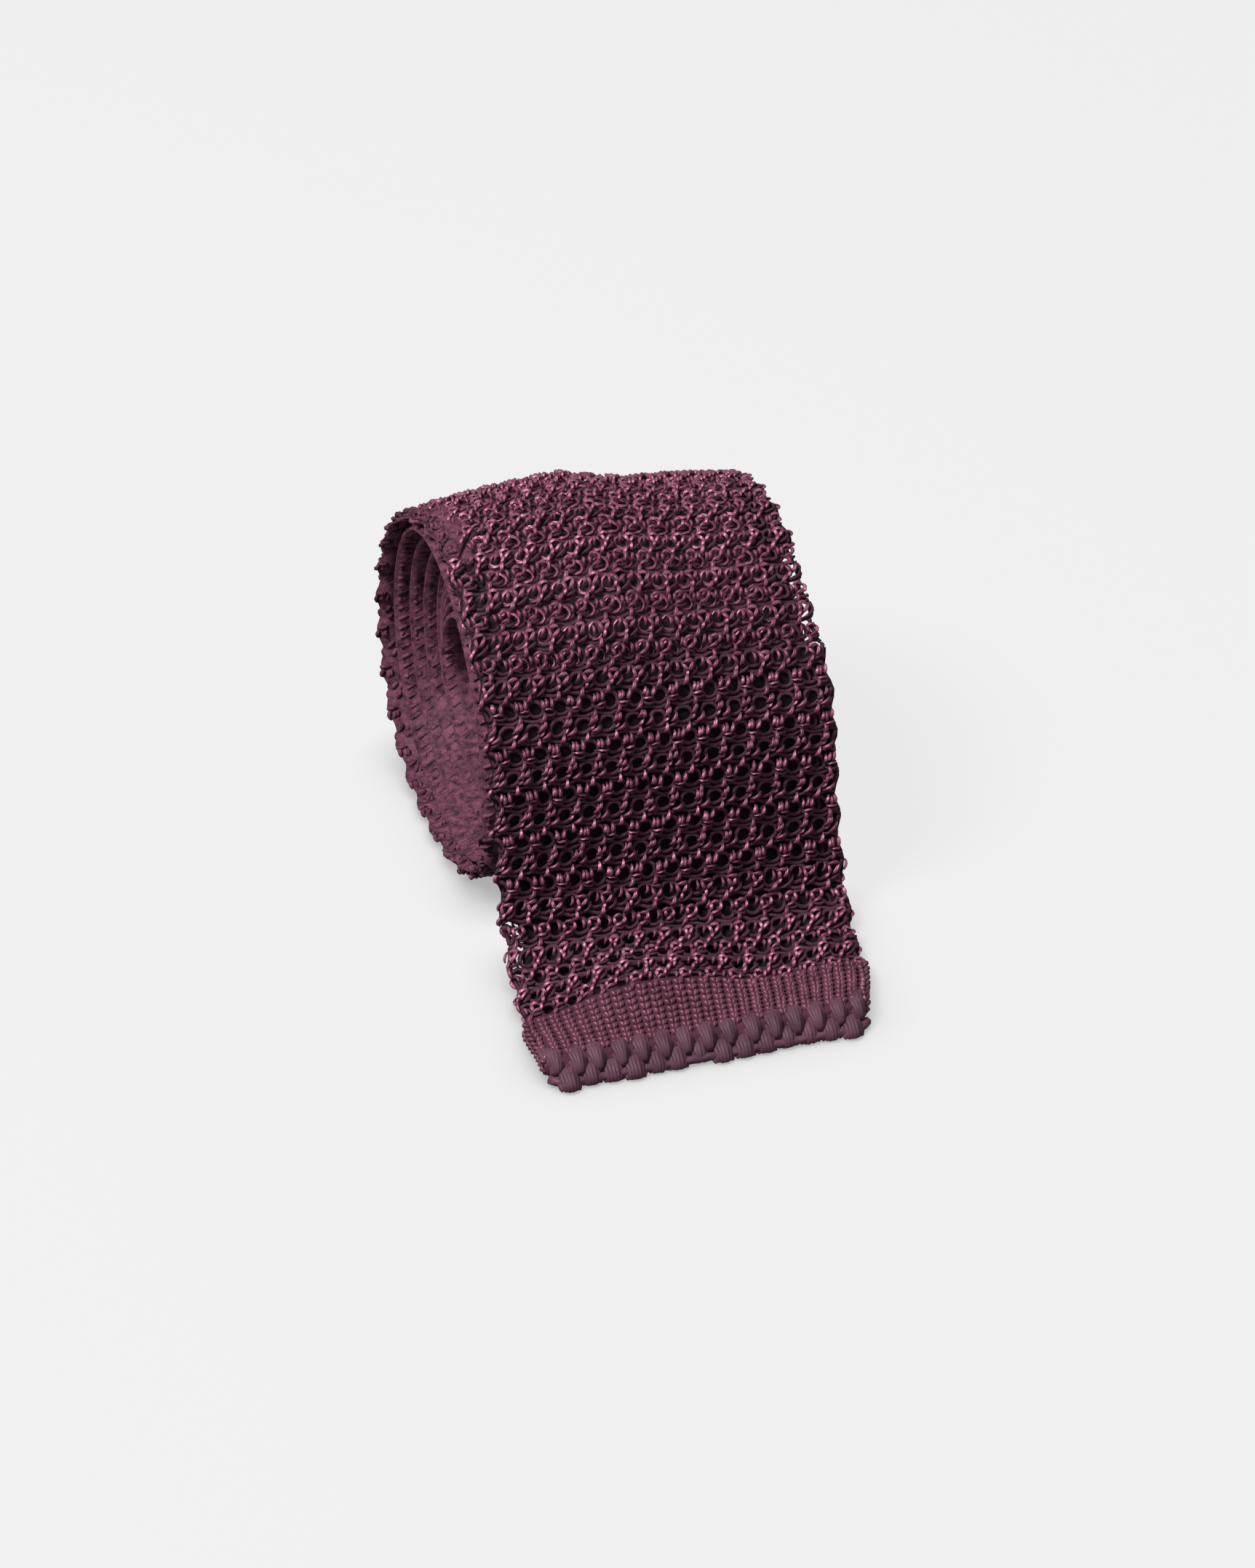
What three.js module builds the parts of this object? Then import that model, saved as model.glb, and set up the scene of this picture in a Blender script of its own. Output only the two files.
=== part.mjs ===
// Knit tie rolled up from its narrow end and laid on a flat surface.
// The wide blade is outermost: it comes up the back, over the top and down the front of the roll,
// then runs out flat in front, where its plain hem band and scalloped end lie.
// Lengths are millimetres. X is the axis of the roll, -Y is the front, +Z is up.

import * as THREE from 'three';

// Widths of the strip, at the blade, at the neck and at the narrow end, and how much the hem draws
// the blade in at its end
const BLADE_WIDTH = 57;
const NECK_WIDTH = 41;
const TAIL_WIDTH = 46;
const HEM_NARROWING = 3.6;

// Thickness of the cloth, which is two knit layers: lying loose, rolled up, and at the open hem
const LOOSE_CLOTH = 2.7;
const ROLLED_CLOTH = 1.5;
const HEM_END_CLOTH = 4.4;

// The roll: its outer radius at the front, the open core, and the air between two turns
const ROLL_RADIUS = 32.2;
const CORE_RADIUS = 11.5;
const TURN_GAP = 0.36;

// The blade in front of the roll: its whole run, and the lengths of its hem and its scalloped end
const FRONT_RUN = 37.5;
const HEM_LENGTH = 11.5;
const SCALLOP_LENGTH = 5;
const JOIN_GAP = 0.3;

// Bumps along both long edges, and along the end
const EDGE_BUMP_PITCH = 7.3;
const EDGE_BUMP_DEPTH = 0.9;
const END_BUMP_PITCH = 4;
const END_BUMP_DEPTH = 1.5;
const END_CORNER_RADIUS = 2.2;
const END_CORNER_DROP = 0.4;

// How far the lowest cloth is pressed flat where the roll rests
const PRESSED = 0.35;

// How far to the left the roll lies behind its outer turn's front, wound a little askew
const SKEW = 1.2;

// The roll seen along its axis. turn is degrees from the front, over the top, and reach is the
// radius there as a share of the radius that a round roll would have. The bottom is pressed flat,
// and the back bulges low down, as a soft roll sags.
const ROLL_OUTLINE = [
  { turn: 0, reach: 1.0 },
  { turn: 22, reach: 0.972 },
  { turn: 45, reach: 0.955 },
  { turn: 75, reach: 0.945 },
  { turn: 100, reach: 0.955 },
  { turn: 125, reach: 0.975 },
  { turn: 155, reach: 1.02 },
  { turn: 180, reach: 1.085 },
  { turn: 202, reach: 1.13 },
  { turn: 220, reach: 1.13 },
  { turn: 236, reach: 1.085 },
  { turn: 252, reach: 1.0 },
  { turn: 270, reach: 0.955 },
  { turn: 288, reach: 0.985 },
  { turn: 312, reach: 1.018 },
  { turn: 338, reach: 1.02 },
];

// Top face of the blade in front of the roll, from its end back to the roll. out is a share of
// FRONT_RUN from the roll's front, lift is a share of the height of the roll's axis, above the
// height at which the cloth lies flat, and aside is a share of BLADE_WIDTH to the right.
const BLADE_RUN = [
  { out: 1.0, lift: 0.0, aside: -0.066 },
  { out: 0.85, lift: 0.0, aside: -0.052 },
  { out: 0.7, lift: 0.0, aside: -0.036 },
  { out: 0.53, lift: 0.0, aside: -0.021 },
  { out: 0.4, lift: 0.006, aside: -0.013 },
  { out: 0.285, lift: 0.026, aside: -0.007 },
  { out: 0.195, lift: 0.08, aside: -0.003 },
  { out: 0.13, lift: 0.18, aside: 0.0 },
  { out: 0.085, lift: 0.34, aside: 0.0 },
  { out: 0.045, lift: 0.58, aside: 0.0 },
  { out: 0.012, lift: 0.82, aside: 0.0 },
];

// Width and thickness of the strip inside the roll. along is a share of all the roll's turns;
// each column mixes between the two sizes that it names.
const STRIP = [
  { along: 0.0, bladeToNeck: 0.0, neckToTail: 0.0, looseToRolled: 0.0 },
  { along: 0.08, bladeToNeck: 0.05, neckToTail: 0.0, looseToRolled: 0.15 },
  { along: 0.16, bladeToNeck: 0.25, neckToTail: 0.0, looseToRolled: 0.8 },
  { along: 0.28, bladeToNeck: 0.55, neckToTail: 0.0, looseToRolled: 1.0 },
  { along: 0.5, bladeToNeck: 1.0, neckToTail: 0.0, looseToRolled: 1.0 },
  { along: 0.7, bladeToNeck: 1.0, neckToTail: 0.4, looseToRolled: 1.0 },
  { along: 1.0, bladeToNeck: 1.0, neckToTail: 1.0, looseToRolled: 1.0 },
];

// Soft lengthwise waves over the top of the roll, where the middle is pushed up and the edges
// hang in. across runs from -1 at the left edge to 1 at the right, and rise is a share of
// LOOSE_CLOTH. The waves are full between two turns, and fade out on both sides of them and
// towards the core.
const WAVE = [
  { across: -0.94, rise: 0.1 },
  { across: -0.08, rise: 0.8 },
  { across: 0.32, rise: -0.2 },
  { across: 0.94, rise: -0.8 },
];
const WAVE_FROM = 65;
const WAVE_TO = 125;
const WAVE_FADE = 55;

// Turns between which the strip moves over by SKEW
const SKEW_FROM = 60;
const SKEW_TO = 160;

// Side face of the cloth, between these shares of its thickness
const SIDE_FROM = 0.25;
const SIDE_TO = 0.75;

// Profile of the scalloped end, from the top of the hem band round the front to the floor. out is a
// share of SCALLOP_LENGTH, up is a share of HEM_END_CLOTH, and each row is moved by the bumps of
// the upper or the lower layer.
const SCALLOP_PROFILE = [
  { out: 0.0, up: 1.0, upper: 0.0, lower: 0.0 },
  { out: 0.3, up: 0.97, upper: 0.3, lower: 0.0 },
  { out: 0.52, up: 0.74, upper: 1.0, lower: 0.0 },
  { out: 0.42, up: 0.52, upper: 0.4, lower: 0.2 },
  { out: 0.62, up: 0.44, upper: 0.0, lower: 0.6 },
  { out: 0.73, up: 0.22, upper: 0.0, lower: 1.0 },
  { out: 0.6, up: 0.0, upper: 0.0, lower: 0.7 },
  { out: 0.0, up: 0.0, upper: 0.0, lower: 0.0 },
];

// Share of the way from loose to rolled cloth that the roll's cloth has on average
const MEAN_ROLLED = 0.87;

const FINE_STEPS_PER_BUMP = 4;
const STEPS_PER_TURN = 30;
const END_STEPS_PER_BUMP = 6;

const FULL_TURN = 360;
const LOWEST_TURN = 270;
const { degToRad, lerp, smoothstep, clamp } = THREE.MathUtils;

// Value of one column of a table at a place between its rows
function tableValue(table, place, column, at) {
  const last = table.length - 1;
  let index = 0;
  while (index < last - 1 && table[index + 1][place] < at) index += 1;
  const from = table[index];
  const to = table[index + 1];
  const share = clamp((at - from[place]) / (to[place] - from[place]), 0, 1);
  return lerp(from[column], to[column], share);
}

// Smooth closed curve through the rows of ROLL_OUTLINE
function outlineReach(turn) {
  const rows = ROLL_OUTLINE;
  const at = THREE.MathUtils.euclideanModulo(turn, FULL_TURN);
  let index = rows.length - 1;
  while (rows[index].turn > at) index -= 1;
  const row = (step) => {
    const wraps = Math.floor((index + step) / rows.length);
    const source = rows[index + step - wraps * rows.length];
    return { turn: source.turn + wraps * FULL_TURN, reach: source.reach };
  };
  const [before, from, to, after] = [row(-1), row(0), row(1), row(2)];
  const span = to.turn - from.turn;
  const share = (at - from.turn) / span;
  const leaving = (to.reach - before.reach) / (to.turn - before.turn) * span;
  const arriving = (after.reach - from.reach) / (after.turn - from.turn) * span;
  const squared = share * share;
  const cubed = squared * share;
  return (2 * cubed - 3 * squared + 1) * from.reach + (cubed - 2 * squared + share) * leaving
    + (3 * squared - 2 * cubed) * to.reach + (cubed - squared) * arriving;
}

// Degrees that the strip winds from the roll's front down to the core, near enough for STRIP
const windingRoom = ROLL_RADIUS - CORE_RADIUS - ROLLED_CLOTH;
const meanCloth = lerp(LOOSE_CLOTH, ROLLED_CLOTH, MEAN_ROLLED);
const woundTurn = windingRoom / (meanCloth + TURN_GAP) * FULL_TURN;

function stripMix(column, turn) {
  return tableValue(STRIP, 'along', column, turn / woundTurn);
}

function clothAt(turn) {
  return lerp(LOOSE_CLOTH, ROLLED_CLOTH, stripMix('looseToRolled', turn));
}

// The spiral, one degree a step: how far the round radius has come in, down to the core
const spiral = [0];
while (spiral[spiral.length - 1] < windingRoom) {
  const pitch = clothAt(spiral.length - 1) + TURN_GAP;
  spiral.push(spiral[spiral.length - 1] + pitch / FULL_TURN);
}
const lastTurn = spiral.length - 1;

// Round radius, outer radius, and the outer face's point in the plane (x is out to the front)
function roundRadius(turn) {
  const step = clamp(Math.floor(turn), 0, lastTurn - 1);
  return ROLL_RADIUS - lerp(spiral[step], spiral[step + 1], turn - step);
}

function outerRadius(turn) {
  return roundRadius(turn) * outlineReach(turn);
}

const axisHeight = outerRadius(LOWEST_TURN) - PRESSED;

function rollPoint(turn) {
  const radius = outerRadius(turn);
  const angle = degToRad(turn);
  return new THREE.Vector2(radius * Math.cos(angle), axisHeight + radius * Math.sin(angle));
}

// Places along the strip. Each has its point on the outer face, its outward normal, the cloth's
// thickness, half its width, how far it lies to the right, and the share of WAVE that it has.
function rollPlace(turn) {
  const step = 0.5;
  const tangent = rollPoint(turn + step).sub(rollPoint(turn - step)).normalize();
  const radial = new THREE.Vector2(Math.cos(degToRad(turn)), Math.sin(degToRad(turn)));
  const normal = new THREE.Vector2(tangent.y, -tangent.x);
  const cloth = clothAt(turn);
  const squeeze = outlineReach(turn) * normal.dot(radial);
  const bladeOrNeck = lerp(BLADE_WIDTH, NECK_WIDTH, stripMix('bladeToNeck', turn));
  const width = lerp(bladeOrNeck, TAIL_WIDTH, stripMix('neckToTail', turn));
  const inTurn = turn % FULL_TURN;
  const rising = smoothstep(inTurn, WAVE_FROM - WAVE_FADE, WAVE_FROM);
  const falling = 1 - smoothstep(inTurn, WAVE_TO, WAVE_TO + WAVE_FADE);
  return {
    point: rollPoint(turn),
    normal,
    cloth: Math.min(cloth, (cloth + TURN_GAP) * squeeze - TURN_GAP),
    halfWidth: width / 2,
    aside: -SKEW * smoothstep(turn, SKEW_FROM, SKEW_TO),
    wave: rising * falling * (1 - turn / lastTurn),
  };
}

// The blade in front of the roll, as a curve of its top face that ends on the roll
const bladePoints = BLADE_RUN.map(({ out, lift, aside }) => new THREE.Vector3(
  ROLL_RADIUS + out * FRONT_RUN,
  LOOSE_CLOTH + lift * axisHeight,
  aside * BLADE_WIDTH,
));
const meetTurns = [0, 8, 16];
for (const turn of meetTurns) {
  const point = rollPoint(turn);
  bladePoints.push(new THREE.Vector3(point.x, point.y, 0));
}
const bladeCurve = new THREE.CatmullRomCurve3(bladePoints, false, 'centripetal');
const meetShare = (bladePoints.length - meetTurns.length) / (bladePoints.length - 1);
bladeCurve.arcLengthDivisions = 400;

// The curve's own share at which it meets the roll, as a share of its length
function lengthShareAt(curveShare) {
  const lengths = bladeCurve.getLengths();
  const place = curveShare * (lengths.length - 1);
  const index = Math.floor(place);
  const length = lerp(lengths[index], lengths[index + 1], place - index);
  return length / lengths[lengths.length - 1];
}

const bladeLength = bladeCurve.getLength() * lengthShareAt(meetShare);
const hemEnd = SCALLOP_LENGTH;
const hemStart = SCALLOP_LENGTH + HEM_LENGTH;

function bladePlace(length) {
  const share = length / bladeCurve.getLength();
  const point = bladeCurve.getPointAt(share);
  const tangent = bladeCurve.getTangentAt(share);
  const hemShare = 1 - smoothstep(length, hemEnd, hemStart);
  const cloth = lerp(LOOSE_CLOTH, HEM_END_CLOTH, hemShare);
  return {
    point: new THREE.Vector2(point.x, point.y + cloth - LOOSE_CLOTH),
    normal: new THREE.Vector2(tangent.y, -tangent.x).normalize(),
    cloth,
    halfWidth: (BLADE_WIDTH - HEM_NARROWING * hemShare) / 2,
    aside: point.z,
    wave: 0,
  };
}

// One closed ring of points round the strip at a place
function stripRing(place, bump) {
  const half = place.halfWidth + bump;
  const at = (across, depth, rise) => {
    const out = place.wave * rise * LOOSE_CLOTH - depth * place.cloth;
    const front = place.point.x + place.normal.x * out;
    const height = Math.max(0, place.point.y + place.normal.y * out);
    return new THREE.Vector3(place.aside + across * half, -front, height);
  };
  const first = WAVE[0];
  const last = WAVE[WAVE.length - 1];
  const outer = WAVE.map(({ across, rise }) => at(across, 0, rise));
  const inner = WAVE.map(({ across, rise }) => at(across, 1, rise)).reverse();
  const right = [at(1, SIDE_FROM, last.rise), at(1, SIDE_TO, last.rise)];
  const left = [at(-1, SIDE_TO, first.rise), at(-1, SIDE_FROM, first.rise)];
  return [...outer, ...right, ...inner, ...left];
}

function edgeBump(length) {
  return EDGE_BUMP_DEPTH / 2 * Math.cos(length / EDGE_BUMP_PITCH * 2 * Math.PI);
}

// Closed solid through a row of rings with equal numbers of points
function loft(rings) {
  const count = rings[0].length;
  const points = rings.flat();
  const faces = [];
  for (let ring = 0; ring < rings.length - 1; ring += 1) {
    for (let k = 0; k < count; k += 1) {
      const next = (k + 1) % count;
      const [a, b] = [ring * count + k, ring * count + next];
      const [c, d] = [a + count, b + count];
      faces.push(a, b, d, a, d, c);
    }
  }
  const middle = (ring) => ring.reduce((sum, p) => sum.add(p), new THREE.Vector3())
    .divideScalar(count);
  const lastStart = (rings.length - 1) * count;
  const firstMiddle = points.push(middle(rings[0])) - 1;
  const lastMiddle = points.push(middle(rings[rings.length - 1])) - 1;
  for (let k = 0; k < count; k += 1) {
    const next = (k + 1) % count;
    faces.push(firstMiddle, next, k);
    faces.push(lastMiddle, lastStart + k, lastStart + next);
  }
  return solid(points, faces);
}

// Geometry of a closed solid, with its faces turned outwards
function solid(points, faces) {
  let volume = 0;
  for (let k = 0; k < faces.length; k += 3) {
    const [a, b, c] = [points[faces[k]], points[faces[k + 1]], points[faces[k + 2]]];
    volume += a.dot(b.clone().cross(c));
  }
  const geometry = new THREE.BufferGeometry().setFromPoints(points);
  geometry.setIndex(volume < 0 ? faces.slice().reverse() : faces);
  geometry.computeVertexNormals();
  return geometry;
}

// The openwork body: the blade's run, the outer turn in fine steps, then the inner turns
function knitBody() {
  const rings = [];
  const fineStep = EDGE_BUMP_PITCH / FINE_STEPS_PER_BUMP;
  const start = hemStart + JOIN_GAP;
  const bladeSteps = Math.round((bladeLength - start) / fineStep);
  let length = start;
  for (let k = 0; k < bladeSteps; k += 1) {
    length = lerp(start, bladeLength, k / bladeSteps);
    rings.push(stripRing(bladePlace(length), edgeBump(length)));
  }
  length = bladeLength;
  let turn = 0;
  while (turn < FULL_TURN - FULL_TURN / STEPS_PER_TURN) {
    rings.push(stripRing(rollPlace(turn), edgeBump(length)));
    turn += THREE.MathUtils.radToDeg(fineStep / outerRadius(turn));
    length += fineStep;
  }
  const coarseStep = FULL_TURN / STEPS_PER_TURN;
  turn = FULL_TURN;
  while (turn < lastTurn) {
    rings.push(stripRing(rollPlace(turn), 0));
    turn += coarseStep;
  }
  return loft(rings);
}

function hemBand() {
  const rings = [];
  const steps = 6;
  for (let k = 0; k <= steps; k += 1) {
    const length = lerp(hemEnd + JOIN_GAP, hemStart, k / steps);
    rings.push(stripRing(bladePlace(length), 0));
  }
  return loft(rings);
}

// The scalloped end: two rows of bumps, half a pitch apart, one on each layer of the cloth
function scallopedEnd() {
  const back = bladePlace(hemEnd);
  const half = back.halfWidth;
  const steps = Math.round(2 * half / END_BUMP_PITCH) * END_STEPS_PER_BUMP;
  const rings = [];
  for (let k = 0; k <= steps; k += 1) {
    const x = lerp(-half, half, k / steps);
    const phase = x / END_BUMP_PITCH * Math.PI;
    const upperBump = END_BUMP_DEPTH * Math.abs(Math.sin(phase));
    const lowerBump = END_BUMP_DEPTH * Math.abs(Math.cos(phase));
    const intoCorner = clamp((Math.abs(x) - half) / END_CORNER_RADIUS + 1, 0, 0.9);
    const corner = Math.sqrt(1 - intoCorner * intoCorner);
    rings.push(SCALLOP_PROFILE.map(({ out, up, upper, lower }) => {
      const reach = out * SCALLOP_LENGTH + upper * upperBump + lower * lowerBump;
      const height = up * HEM_END_CLOTH * lerp(1, corner, END_CORNER_DROP);
      return new THREE.Vector3(back.aside + x, -back.point.x - reach * corner, height);
    }));
  }
  return loft(rings);
}

function piece(name, geometry, colour, roughness) {
  const material = new THREE.MeshStandardMaterial({ color: colour, roughness, metalness: 0 });
  const mesh = new THREE.Mesh(geometry, material);
  mesh.name = name;
  return mesh;
}

const tie = new THREE.Group();
tie.add(piece('knit_body', knitBody(), 0x5e2c40, 0.6));
tie.add(piece('hem_band', hemBand(), 0x6b3449, 0.6));
tie.add(piece('scalloped_end', scallopedEnd(), 0x552639, 0.65));

// The origin is on the surface, under the middle of the whole tie
const box = new THREE.Box3().setFromObject(tie);
tie.position.x = -(box.min.x + box.max.x) / 2;
tie.position.y = -(box.min.y + box.max.y) / 2;

export default tie;
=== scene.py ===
import math

import bpy
import numpy as np
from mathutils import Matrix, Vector


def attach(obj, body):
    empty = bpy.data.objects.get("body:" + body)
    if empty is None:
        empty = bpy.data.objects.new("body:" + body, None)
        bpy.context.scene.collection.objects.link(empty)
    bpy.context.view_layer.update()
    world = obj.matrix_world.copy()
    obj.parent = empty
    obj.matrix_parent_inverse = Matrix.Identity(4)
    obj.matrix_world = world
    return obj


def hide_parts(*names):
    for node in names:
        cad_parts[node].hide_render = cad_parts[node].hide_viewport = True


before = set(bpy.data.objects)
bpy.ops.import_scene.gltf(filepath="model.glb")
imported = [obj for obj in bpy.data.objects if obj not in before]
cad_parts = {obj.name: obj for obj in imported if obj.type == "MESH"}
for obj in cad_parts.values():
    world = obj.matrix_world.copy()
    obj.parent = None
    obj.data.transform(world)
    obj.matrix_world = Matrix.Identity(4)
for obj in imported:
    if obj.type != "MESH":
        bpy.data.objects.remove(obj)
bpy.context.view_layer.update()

MM = 0.001
random = np.random.default_rng(7)

# Sizes of the rolled strip in millimetres, the same as in the CAD part
BLADE_WIDTH, NECK_WIDTH, TAIL_WIDTH, HEM_NARROWING = 57.0, 41.0, 46.0, 3.6
LOOSE_CLOTH, ROLLED_CLOTH, HEM_END_CLOTH = 2.7, 1.5, 4.4
ROLL_RADIUS, CORE_RADIUS, TURN_GAP, PRESSED = 32.2, 11.5, 0.36, 0.35
FRONT_RUN, HEM_LENGTH, SCALLOP_LENGTH, JOIN_GAP = 37.5, 11.5, 5.0, 0.3
EDGE_BUMP_PITCH, EDGE_BUMP_DEPTH = 7.3, 0.9
SKEW, SKEW_FROM, SKEW_TO = 1.2, 60.0, 160.0
WAVE_FROM, WAVE_TO, WAVE_FADE = 65.0, 125.0, 55.0
MEAN_ROLLED = 0.87
SHIFT_RIGHT, SHIFT_BACK = 0.5403, 18.1946

# The roll's outline: degrees from the front over the top, and radius as a share of a round roll's
ROLL_OUTLINE = np.array([
    (0, 1.0), (22, 0.972), (45, 0.955), (75, 0.945), (100, 0.955), (125, 0.975), (155, 1.02),
    (180, 1.085), (202, 1.13), (220, 1.13), (236, 1.085), (252, 1.0), (270, 0.955),
    (288, 0.985), (312, 1.018), (338, 1.02)])
# The blade's top face in front of the roll: share of FRONT_RUN, lift and shift to the right
BLADE_RUN = np.array([
    (1.0, 0.0, -0.066), (0.85, 0.0, -0.052), (0.7, 0.0, -0.036), (0.53, 0.0, -0.021),
    (0.4, 0.006, -0.013), (0.285, 0.026, -0.007), (0.195, 0.08, -0.003), (0.13, 0.18, 0.0),
    (0.085, 0.34, 0.0), (0.045, 0.58, 0.0), (0.012, 0.82, 0.0)])
# Share of the winding, blade to neck, neck to tail, loose to rolled
STRIP = np.array([
    (0.0, 0.0, 0.0, 0.0), (0.08, 0.05, 0.0, 0.15), (0.16, 0.25, 0.0, 0.8), (0.28, 0.55, 0.0, 1.0),
    (0.5, 1.0, 0.0, 1.0), (0.7, 1.0, 0.4, 1.0), (1.0, 1.0, 1.0, 1.0)])
# Soft lengthwise waves over the top of the roll: place across and rise
WAVE = np.array([(-0.94, 0.1), (-0.5, 0.52), (-0.08, 0.8), (0.1, 0.3), (0.32, -0.2), (0.62, -0.42),
                 (0.94, -0.8)])


def lerp(a, b, share):
    return a + (b - a) * share


def smoothstep(x, start, end):
    share = np.clip((x - start) / (end - start), 0, 1)
    return share * share * (3 - 2 * share)


def window(x, start, full, fading, end):
    return smoothstep(x, start, full) * (1 - smoothstep(x, fading, end))


def outline_reach(turn):
    """Smooth closed curve through the rows of ROLL_OUTLINE."""
    turns = np.concatenate([ROLL_OUTLINE[-1:, 0] - 360, ROLL_OUTLINE[:, 0], ROLL_OUTLINE[:2, 0] + 360])
    reach = np.concatenate([ROLL_OUTLINE[-1:, 1], ROLL_OUTLINE[:, 1], ROLL_OUTLINE[:2, 1]])
    at = np.mod(turn, 360)
    i = np.clip(np.searchsorted(turns, at, "right") - 1, 1, len(turns) - 3)
    span = turns[i + 1] - turns[i]
    t = (at - turns[i]) / span
    leaving = (reach[i + 1] - reach[i - 1]) / (turns[i + 1] - turns[i - 1]) * span
    arriving = (reach[i + 2] - reach[i]) / (turns[i + 2] - turns[i]) * span
    return ((2 * t**3 - 3 * t**2 + 1) * reach[i] + (t**3 - 2 * t**2 + t) * leaving
            + (3 * t**2 - 2 * t**3) * reach[i + 1] + (t**3 - t**2) * arriving)


winding_room = ROLL_RADIUS - CORE_RADIUS - ROLLED_CLOTH
wound_turn = winding_room / (lerp(LOOSE_CLOTH, ROLLED_CLOTH, MEAN_ROLLED) + TURN_GAP) * 360


def strip_mix(column, turn):
    return np.interp(turn / wound_turn, STRIP[:, 0], STRIP[:, column])


def cloth_at(turn):
    return lerp(LOOSE_CLOTH, ROLLED_CLOTH, strip_mix(3, turn))


spiral = [0.0]
while spiral[-1] < winding_room:
    spiral.append(spiral[-1] + (cloth_at(len(spiral) - 1) + TURN_GAP) / 360)
last_turn = len(spiral) - 1
spiral = np.array(spiral)


def outer_radius(turn):
    return (ROLL_RADIUS - np.interp(turn, np.arange(len(spiral)), spiral)) * outline_reach(turn)


axis_height = float(outer_radius(270.0)) - PRESSED


def roll_point(turn):
    radius, angle = outer_radius(turn), np.radians(turn)
    return np.stack([radius * np.cos(angle), axis_height + radius * np.sin(angle)], -1)


def through(points, per_span):
    """A centripetal Catmull-Rom curve through points, per_span places for each span."""
    points = np.concatenate([2 * points[:1] - points[1:2], points, 2 * points[-1:] - points[-2:-1]])
    found = []
    for k in range(1, len(points) - 2):
        p0, p1, p2, p3 = points[k - 1 : k + 3]
        d0, d1, d2 = (np.sqrt(np.linalg.norm(b - a)) for a, b in ((p0, p1), (p1, p2), (p2, p3)))
        leaving = ((p1 - p0) / d0 - (p2 - p0) / (d0 + d1) + (p2 - p1) / d1) * d1
        arriving = ((p2 - p1) / d1 - (p3 - p1) / (d1 + d2) + (p3 - p2) / d2) * d1
        t = (np.arange(per_span) / per_span)[:, None]
        found.append((2 * t**3 - 3 * t**2 + 1) * p1 + (t**3 - 2 * t**2 + t) * leaving
                     + (3 * t**2 - 2 * t**3) * p2 + (t**3 - t**2) * arriving)
    return np.concatenate([*found, points[-2:-1]])


def lengths_along(points):
    return np.concatenate([[0], np.cumsum(np.linalg.norm(np.diff(points, axis=0), axis=1))])


def strip_table():
    """Every quarter millimetre along the strip, from the blade's end to the core: the outer face's
    place (front, height), its normal, the cloth, half the width, the shift to the right, the share
    of the waves, and the turn."""
    meet = np.array([(*roll_point(turn), 0.0) for turn in (0.0, 8.0, 16.0)])
    run = np.stack([ROLL_RADIUS + BLADE_RUN[:, 0] * FRONT_RUN,
                    LOOSE_CLOTH + BLADE_RUN[:, 1] * axis_height, BLADE_RUN[:, 2] * BLADE_WIDTH], -1)
    per_span = 60
    blade = through(np.concatenate([run, meet]), per_span)[: len(run) * per_span + 1]
    blade_s = lengths_along(blade)
    turn = np.arange(0, last_turn, 0.5)
    roll = roll_point(turn)
    roll_s = blade_s[-1] + lengths_along(roll)
    s = np.arange(0, roll_s[-1], 0.25)
    all_s = np.concatenate([blade_s, roll_s[1:]])
    front = np.interp(s, all_s, np.concatenate([blade[:, 0], roll[1:, 0]]))
    height = np.interp(s, all_s, np.concatenate([blade[:, 1], roll[1:, 1]]))
    turn = np.interp(s, roll_s, turn)
    on_blade = s < blade_s[-1]
    tangent = np.stack([np.gradient(front), np.gradient(height)], -1)
    tangent /= np.linalg.norm(tangent, axis=1)[:, None]
    hem_share = 1 - smoothstep(s, SCALLOP_LENGTH, SCALLOP_LENGTH + HEM_LENGTH)
    cloth = np.where(on_blade, lerp(LOOSE_CLOTH, HEM_END_CLOTH, hem_share), cloth_at(turn))
    radial = np.stack([np.cos(np.radians(turn)), np.sin(np.radians(turn))], -1)
    normal = np.stack([tangent[:, 1], -tangent[:, 0]], -1)
    squeeze = outline_reach(turn) * (normal * radial).sum(1)
    pressed = np.minimum(cloth, (cloth + TURN_GAP) * squeeze - TURN_GAP)
    cloth = np.where(on_blade, cloth, pressed)
    height = height + np.where(on_blade, cloth - LOOSE_CLOTH, 0)
    width = lerp(lerp(BLADE_WIDTH, NECK_WIDTH, strip_mix(1, turn)), TAIL_WIDTH, strip_mix(2, turn))
    half = np.where(on_blade, BLADE_WIDTH - HEM_NARROWING * hem_share, width) / 2
    aside = np.where(on_blade, np.interp(s, blade_s, blade[:, 2]),
                     -SKEW * smoothstep(turn, SKEW_FROM, SKEW_TO))
    in_turn = np.mod(turn, 360)
    wave = (smoothstep(in_turn, WAVE_FROM - WAVE_FADE, WAVE_FROM)
            * (1 - smoothstep(in_turn, WAVE_TO, WAVE_TO + WAVE_FADE)) * (1 - turn / last_turn))
    wave = np.where(on_blade, 0, wave)
    return s, np.stack([front, height, normal[:, 0], normal[:, 1], cloth, half, aside, wave, turn])


lengths, strip = strip_table()
outer_end = float(np.interp(350.0, strip[8], lengths))  # where the outer turn goes under itself
strip_end = float(lengths[-1])
hem_start = SCALLOP_LENGTH + HEM_LENGTH

# The hem's top layer stands up off the lower one: columns from the left edge, and share of the rise
BULGE_RISE = 3.6
BULGE = np.array([(0, 0), (1.5, 0.2), (3, 0.75), (4.5, 1.0), (6, 0.95), (7.5, 0.65), (9, 0.15),
                  (10.5, 0.0), (12.5, 0.2), (14, 0)])
BULGE_FROM, BULGE_PEAK, BULGE_TO = 6.0, 17.0, 42.0

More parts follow.
